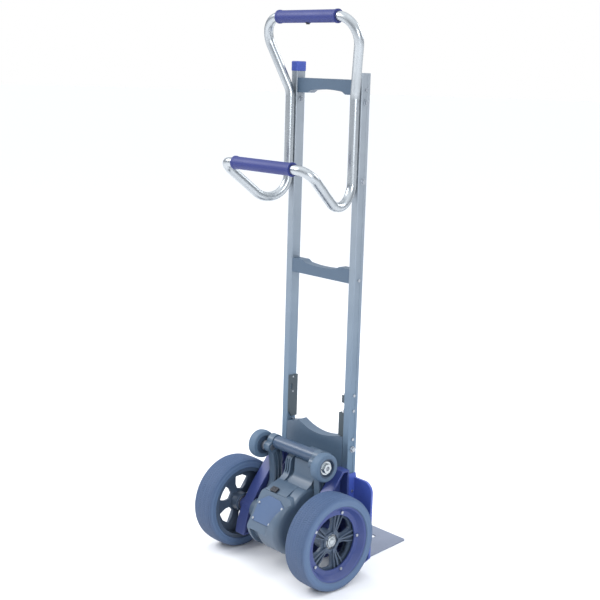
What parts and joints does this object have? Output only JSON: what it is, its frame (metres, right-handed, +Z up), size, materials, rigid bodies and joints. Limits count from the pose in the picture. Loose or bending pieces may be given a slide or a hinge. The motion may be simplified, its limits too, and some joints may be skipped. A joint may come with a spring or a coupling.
{
  "type": "powered stair-climbing hand truck",
  "caption": "Powered stair-climbing hand truck with twin uprights, looped tube handle, toe plate, drive housing, spoked wheels and swinging lift arms with rollers.",
  "frame": {"origin": "centre of the footprint on the floor", "axes": "+X across the truck along the axle, to the right of a person holding the handle; +Y from the handle side to the toe plate and load; +Z up"},
  "size_m": [0.4654, 0.528, 1.508],
  "materials": {
    "upright_aluminium": "drawn, satin, clear anodised",
    "handle_aluminium": "bright drawn tube",
    "casting_grey": "blue-grey powder coat on castings",
    "cover_grey": "smooth blue-grey paint",
    "bracket_blue": "dark blue paint",
    "guard_blue": "fine-grained moulding",
    "ring_blue": "satin moulding",
    "grip_blue": "soft grip",
    "black_plastic": "fine-grained black",
    "guide_dark": "dark grey paint",
    "toe_aluminium": "mill finish sheet",
    "bright_steel": "zinc plated",
    "hub_chrome": "chromed",
    "shaft_steel": "ground steel",
    "cross_tube_grey": "blue-grey paint",
    "tyre_grey": "grey solid tyre",
    "roller_grey": "light grey rubber",
    "rim_grey": "grey casting",
    "motor_black": "black can",
    "bearing_steel": "ground",
    "bronze": "sintered bronze",
    "spring_steel": "spring wire"
  },
  "bodies": {
    "frame": {"left_upright": "upright_aluminium", "right_upright": "upright_aluminium", "left_end_cap": "guard_blue", "top_crossbar": "casting_grey", "middle_crossbar": "casting_grey", "lower_crossmember": "casting_grey", "handle_tube": "handle_aluminium", "upper_grip": "grip_blue", "lower_grip": "grip_blue", "button_housing": "black_plastic", "button_spring": "spring_steel", "clamp_blocks": "shaft_steel", "hex_bolts": "bright_steel", "hex_nuts": "bright_steel", "frame_screws": "bright_steel", "bracket_rivets": "bright_steel", "battery_hook": "guide_dark", "right_battery_rail": "guide_dark", "left_battery_rail": "guide_dark", "left_guard": "guard_blue", "right_guard": "guard_blue", "guard_screws": "bright_steel", "toe_plate": "toe_aluminium", "toe_plate_bolts": "bright_steel", "left_axle_bracket": "bracket_blue", "right_axle_bracket": "bracket_blue", "axle_bracket_bolts": "bright_steel", "main_axle": "shaft_steel", "gear_case_left": "casting_grey", "gear_case_right": "casting_grey", "drive_cover": "cover_grey", "cover_screws": "bright_steel", "socket_bezel": "black_plastic", "sleeve_bushes": "bronze", "motor": "motor_black", "neck_bracket": "casting_grey", "hub_nuts": "hub_chrome"},
    "left_wheel": {"left_tyre": "tyre_grey", "left_rim": "rim_grey", "left_rim_ring": "ring_blue", "left_wheel_bearings": "bearing_steel", "left_ring_bolts": "bright_steel"},
    "right_wheel": {"right_tyre": "tyre_grey", "right_rim": "rim_grey", "right_rim_ring": "ring_blue", "right_wheel_bearings": "bearing_steel", "right_ring_bolts": "bright_steel"},
    "lift_arm": {"arm_sleeve": "shaft_steel", "arm_gear": "shaft_steel", "left_arm": "casting_grey", "right_arm": "casting_grey", "roller_tube": "cross_tube_grey", "roller_shaft": "shaft_steel", "roller_nuts": "hub_chrome"},
    "left_roller": {"left_roller_hub": "rim_grey", "left_roller_tyre": "roller_grey"},
    "right_roller": {"right_roller_hub": "rim_grey", "right_roller_tyre": "roller_grey"},
    "pinion": {"pinion": "shaft_steel"},
    "button": {"control_button": "black_plastic"}
  },
  "joints": [
    {"name": "left_wheel_spin", "type": "hinge", "parent": "frame", "child": "left_wheel", "pos_m": [-0.1952, -0.134, 0.13], "axis": [1, 0, 0], "continuous": true},
    {"name": "right_wheel_spin", "type": "hinge", "parent": "frame", "child": "right_wheel", "pos_m": [0.1952, -0.134, 0.13], "axis": [1, 0, 0], "continuous": true},
    {"name": "lift_arm_swing", "type": "hinge", "parent": "frame", "child": "lift_arm", "pos_m": [0, -0.134, 0.13], "axis": [1, 0, 0], "range_deg": [0, 200]},
    {"name": "left_roller_spin", "type": "hinge", "parent": "lift_arm", "child": "left_roller", "pos_m": [-0.1298, -0.1019, 0.3096], "axis": [1, 0, 0], "continuous": true},
    {"name": "right_roller_spin", "type": "hinge", "parent": "lift_arm", "child": "right_roller", "pos_m": [0.1298, -0.1019, 0.3096], "axis": [1, 0, 0], "continuous": true},
    {"name": "pinion_spin", "type": "hinge", "parent": "frame", "child": "pinion", "pos_m": [0.06, -0.11769, 0.19085], "axis": [1, 0, 0], "continuous": true},
    {"name": "button_press", "type": "slide", "parent": "frame", "child": "button", "axis": [0, 0, 1], "range_m": [0, 0.003], "stiffness_N_per_m": 300, "springref_m": -0.001, "deforming": ["button_spring"]}
  ],
  "couplings": [
    {"joint": "pinion_spin", "follows": "lift_arm_swing", "ratio": -3.6667}
  ]
}
